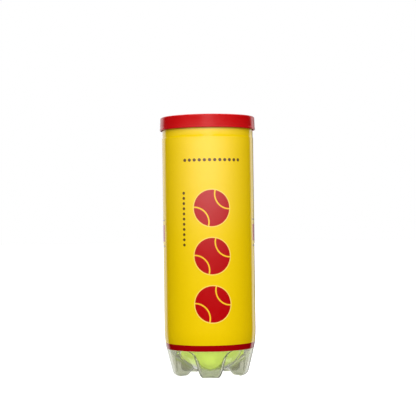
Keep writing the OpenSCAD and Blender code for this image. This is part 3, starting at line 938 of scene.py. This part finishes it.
shader = add_node(tree, "BsdfPrincipled", inputs={
    "Base Color": shade.outputs[2], "Roughness": 0.95, "IOR": 1.5, "Specular IOR Level": 0.15,
    "Sheen Weight": 0.35, "Sheen Roughness": 0.5, "Sheen Tint": linear("#f0f7b0"),
    "Normal": nap.outputs[0]})
add_node(tree, "OutputMaterial", inputs={"Surface": shader.outputs[0]})
print("tufts", TUFT, "mm, fibres", FIBRE, "mm")

# %% [markdown]
# ## Seam cement
# The joint between the panels is filled with pale rubber cement that cures proud of the core: a
# chalky off-white with a slightly uneven skin, some 1.5 mm between its ripples.

# %% Pale cured cement
CEMENT_WAVE = 1.5
cement, tree = start_material("cured_pale_rubber_cement")
where = add_node(tree, "TexCoord").outputs["Object"]
ripples = add_node(tree, "TexNoise", inputs={
    "Vector": where, "Scale": 1 / (CEMENT_WAVE * MM), "Detail": 3.0})
tone = add_node(tree, "Mix", {"data_type": "RGBA"}, {
    0: ripples.outputs[0], 6: linear("#dcdacb"), 7: linear("#f4f3e9")})
lumps = add_node(tree, "Bump", inputs={
    "Height": ripples.outputs[0], "Strength": 0.6, "Distance": 0.1 * MM})
shader = add_node(tree, "BsdfPrincipled", inputs={
    "Base Color": tone.outputs[2], "Roughness": 0.7, "IOR": 1.52, "Normal": lumps.outputs[0]})
add_node(tree, "OutputMaterial", inputs={"Surface": shader.outputs[0]})
print("cement ripples", CEMENT_WAVE, "mm")

# %% [markdown]
# ## Ball geometry
# A tennis ball wears two dog-bone panels of cloth. The line between them is four round arcs: two
# lobes dip up from the ball's middle plane and two dip down. A fine sphere is split along that
# line, cell by cell, and each half becomes a closed panel with rounded edges, so the seam is a
# real groove. A texture could only have painted it.

# %% Which side of the seam a point is on
BALL_R = 33.0
CORE_R = 30.23
LOBE_TILT = math.radians(17)
LOBE_SIZE = math.radians(47.45)
SEAM_HALF = 1.0 / BALL_R
BALL_TURNS = ((62, 18, 20), (-35, 40, 75), (15, -50, 130))
BALL_FLOOR = 4.5
upper_lobes = [Vector((0, s * math.cos(LOBE_TILT), math.sin(LOBE_TILT))) for s in (-1, 1)]
lower_lobes = [Vector((s * math.cos(LOBE_TILT), 0, -math.sin(LOBE_TILT))) for s in (-1, 1)]


def seam_side(spot):
    """Angle from the seam, above 0 on the first panel, with the nearest lobe and its sense."""
    lobes, sense = (upper_lobes, 1) if spot.z >= 0 else (lower_lobes, -1)
    lobe = max(lobes, key=spot.dot)
    return sense * (spot.angle(lobe) - LOBE_SIZE), lobe, sense


print("seam passes", round(math.degrees(seam_side(Vector((0, 0, 1)))[0]), 1),
      "degrees from the ball's pole")

# %% Split a fine sphere into two panels
sphere = bmesh.new()
bmesh.ops.create_icosphere(sphere, subdivisions=6, radius=1)
sphere_points = [v.co.normalized() for v in sphere.verts]
sphere_faces = [tuple(v.index for v in f.verts) for f in sphere.faces]
sphere.free()
ICOSPHERE_EDGE = math.radians(63.4)
SNAP = 0.3 * ICOSPHERE_EDGE / 32


def panel_sheet(half):
    """Unit points, their angle in from the edge, and the faces of one panel's outer sheet."""
    spots, depth = [], []
    for spot in sphere_points:
        side, lobe, sense = seam_side(spot)
        inward = half * side - SEAM_HALF
        if abs(inward) < SNAP:
            axis = lobe.cross(spot)
            spot = Matrix.Rotation(-inward * half * sense, 3, axis) @ spot
            inward = 0.0
        spots.append(spot)
        depth.append(inward)
    faces, cuts = [], {}
    for face in sphere_faces:
        if all(depth[i] <= 0 for i in face):
            continue
        if all(depth[i] >= 0 for i in face):
            faces.append(face)
            continue
        kept = []
        for a, b in zip(face, face[1:] + face[:1]):
            if depth[a] >= 0:
                kept.append(a)
            if depth[a] * depth[b] < 0:
                key = (min(a, b), max(a, b))
                if key not in cuts:
                    t = depth[a] / (depth[a] - depth[b])
                    spots.append(spots[a].lerp(spots[b], t).normalized())
                    depth.append(0.0)
                    cuts[key] = len(spots) - 1
                kept.append(cuts[key])
        faces.append(tuple(kept))
    used = sorted({i for face in faces for i in face})
    new = {old: i for i, old in enumerate(used)}
    return ([spots[i] for i in used], [depth[i] for i in used],
            [tuple(new[i] for i in face) for face in faces])


sheets = {"a": panel_sheet(1), "b": panel_sheet(-1)}
print("panel sheets have", [len(s[2]) for s in sheets.values()], "cells")

# %% [markdown]
# ## Felt with a real nap
# The cloth isn't smooth: tufts rise and sink by a quarter of a millimetre, its cut edges round
# down into the seam, and short fibres stand off it. Hair particles would need their own render
# settings, so each fibre is a tiny closed thorn, bent over as brushed nap lies. None grows at the
# top and bottom of a ball, where it meets its neighbours, or close to the seam.

# %% Grow one panel of a ball
EDGE_DROP = 0.55
EDGE_WIDTH = 0.9
NAP_HIGH = 0.32
FIBRES = 900
TOUCH_CAP = 0.86
FIBRE_CLEAR = 0.02


def felt_panel(sheet, seed, turn):
    """Points in mm and faces of one closed felt panel, with its tufts and loose fibres."""
    spots, depth, cells = sheet
    offset = Vector((seed * 7.3, seed * 3.1, -seed * 5.7))
    outer, n = [], len(spots)
    for spot, inward in zip(spots, depth):
        coarse = noise.noise(spot * 9 + offset)
        fine = noise.noise(spot * 24 + offset)
        sink = NAP_HIGH * (0.5 + 0.3 * coarse + 0.4 * fine)
        edge_sink = EDGE_DROP * math.exp(-(inward * BALL_R / EDGE_WIDTH) ** 2)
        outer.append(spot * (BALL_R - 0.02 - max(0.0, sink) - edge_sink))
    points = outer + [spot * CORE_R for spot in spots]
    faces = list(cells) + [tuple(n + i for i in reversed(face)) for face in cells]
    rim = {}
    for face in cells:
        for a, b in zip(face, face[1:] + face[:1]):
            rim[(a, b)] = True
    faces += [(b, a, n + a, n + b) for a, b in rim if (b, a) not in rim]
    dice = random.Random(seed)
    for _ in range(FIBRES):
        i = dice.randrange(n)
        up = spots[i]
        if abs((turn @ up).z) > TOUCH_CAP or depth[i] < FIBRE_CLEAR:
            continue
        lie = up.cross(Vector((dice.gauss(0, 1), dice.gauss(0, 1), dice.gauss(0, 1)))).normalized()
        aside = up.cross(lie)
        reach = dice.uniform(0.7, 1.6)
        root = outer[i] - up * 0.12
        first = len(points)
        for along, lift, thick in ((0.0, 0.0, 0.07), (0.55, 0.26, 0.05)):
            centre = root + lie * (along * reach) + up * (lift * reach)
            points += [centre + aside * thick, centre - aside * thick * 0.5 + up * thick,
                       centre - aside * thick * 0.5 - up * thick]
        points.append(root + lie * reach + up * (0.34 * reach))
        faces.append((first, first + 2, first + 1))
        for s in range(3):
            t = (s + 1) % 3
            faces.append((first + s, first + t, first + 3 + t, first + 3 + s))
            faces.append((first + 3 + s, first + 3 + t, first + 6))
    return points, faces


print("nap is", NAP_HIGH, "mm high")

# %% [markdown]
# ## Seam band
# The cement is a narrow band swept round the seam's middle line, crowned a little and tucked
# under both cloth edges, down to the core.

# %% Follow the seam and sweep the band


def seam_line(steps):
    """Unit points along the middle of the seam, all the way round."""
    line = []
    for s in range(4):
        turn = math.pi / 2 * s
        ahead = Vector((math.cos(turn), math.sin(turn), 0))
        lift = -1 if s % 2 == 0 else 1
        lobe = (ahead * math.cos(LOBE_TILT) + Vector((0, 0, lift * math.sin(LOBE_TILT))))
        start = Vector((math.cos(turn - math.pi / 4), math.sin(turn - math.pi / 4), 0))
        end = Vector((math.cos(turn + math.pi / 4), math.sin(turn + math.pi / 4), 0))
        flat_start = (start - lobe * start.dot(lobe)).normalized()
        flat_end = (end - lobe * end.dot(lobe)).normalized()
        swing = 2 * math.pi - flat_start.angle(flat_end)
        sense = 1 if lobe.dot(flat_start.cross(flat_end)) < 0 else -1
        if sense * lift > 0:
            swing = 2 * math.pi - swing
            sense = -sense
        for k in range(steps):
            way = Matrix.Rotation(sense * swing * k / steps, 3, lobe) @ flat_start
            line.append(lobe * math.cos(LOBE_SIZE) + way * math.sin(LOBE_SIZE))
    return line


middle = seam_line(96)
far = max(abs(seam_side(p)[0]) for p in middle)
print("seam line of", len(middle), "points, off by", round(math.degrees(far), 3), "degrees")

# %% Sweep the cement along the seam


def seam_band(line):
    """Points in mm and faces of the closed cement band along the seam."""
    section = [(-1.25, 30.3), (-1.25, 31.6), (-0.8, 32.15), (0, 32.38), (0.8, 32.15),
               (1.25, 31.6), (1.25, 30.3)]
    points, faces, n, m = [], [], len(line), len(section)
    for i, spot in enumerate(line):
        ahead = (line[(i + 1) % n] - line[i - 1]).normalized()
        aside = spot.cross(ahead).normalized()
        for offset, r in section:
            points.append((spot + aside * (offset / BALL_R)).normalized() * r)
        here, there = i * m, (i + 1) % n * m
        faces += [(here + s, here + (s + 1) % m, there + (s + 1) % m, there + s)
                  for s in range(m)]
    return points, faces


band = seam_band(middle)
print("cement band has", len(band[1]), "faces")

# %% [markdown]
# ## Three balls in the can
# Each ball lies its own way, turned by its own listed angles, and its cloth gets its own tufts.
# The rubber half shells inside stay as the CAD solids they are.

# %% Place the balls
for number, angles in enumerate(BALL_TURNS, 1):
    turn = Euler([math.radians(a) for a in angles], "XYZ").to_matrix()
    middle_z = BALL_FLOOR + (number - 0.5) * 2 * BALL_R
    centre = Vector((0, 0, middle_z))
    for side, sheet in sheets.items():
        points, faces = felt_panel(sheet, number * 2 + (side == "b"), turn)
        add_piece(f"ball_{number}_cloth_{side}", [turn @ p + centre for p in points], faces,
                  felt, f"ball_{number}", [f"ball_{number}_felt_{side}"], 75)
    points, faces = band
    add_piece(f"ball_{number}_cement", [turn @ p + centre for p in points], faces,
              cement, f"ball_{number}", [f"ball_{number}_seam"], 60)

# %% [markdown]
# ## Pieces that stay as CAD
# The rubber shells, the sealing compound and the riveted tongue already have their true shape.
# They only need a finish: dark moulded natural rubber with pale filler specks of about 0.8 mm,
# a grey-green sealing compound that cured in the seam, and the tab's own bright aluminium.

# %% Rubber and sealing compound
SPECK = 0.8
rubber, tree = start_material("moulded_natural_rubber")
where = add_node(tree, "TexCoord").outputs["Object"]
specks = add_node(tree, "TexNoise", inputs={
    "Vector": where, "Scale": 1 / (SPECK * MM), "Detail": 4.0, "Roughness": 0.7})
filler = add_node(tree, "MapRange", inputs={
    "Value": specks.outputs[0], "From Min": 0.6, "From Max": 0.75, "To Min": 0.0, "To Max": 0.5})
tone = add_node(tree, "Mix", {"data_type": "RGBA"}, {
    0: filler.outputs[0], 6: linear("#2b2a2b"), 7: linear("#6d6a66")})
bloom = add_node(tree, "Bump", inputs={
    "Height": specks.outputs[0], "Strength": 0.4, "Distance": 0.06 * MM})
shader = add_node(tree, "BsdfPrincipled", inputs={
    "Base Color": tone.outputs[2], "Roughness": 0.78, "IOR": 1.52, "Normal": bloom.outputs[0]})
add_node(tree, "OutputMaterial", inputs={"Surface": shader.outputs[0]})

GRIT = 0.3
compound, tree = start_material("cured_sealing_compound")
where = add_node(tree, "TexCoord").outputs["Object"]
grit = add_node(tree, "TexNoise", inputs={
    "Vector": where, "Scale": 1 / (GRIT * MM), "Detail": 3.0})
tone = add_node(tree, "Mix", {"data_type": "RGBA"}, {
    0: grit.outputs[0], 6: linear("#777a70"), 7: linear("#959889")})
pores = add_node(tree, "Bump", inputs={
    "Height": grit.outputs[0], "Strength": 0.4, "Distance": 0.03 * MM})
shader = add_node(tree, "BsdfPrincipled", inputs={
    "Base Color": tone.outputs[2], "Roughness": 0.6, "IOR": 1.5, "Normal": pores.outputs[0]})
add_node(tree, "OutputMaterial", inputs={"Surface": shader.outputs[0]})
print("rubber specks", SPECK, "mm, compound grit", GRIT, "mm")

# %% Dress the CAD pieces
kept = {"seam_compound": compound, "tab_tongue": metals["bright_tab_aluminium"]}
for number in range(1, len(BALL_TURNS) + 1):
    kept[f"ball_{number}_core_upper"] = rubber
    kept[f"ball_{number}_core_lower"] = rubber
for node, material in kept.items():
    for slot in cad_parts[node].material_slots:
        slot.material = material
print("dressed", len(kept), "CAD pieces")
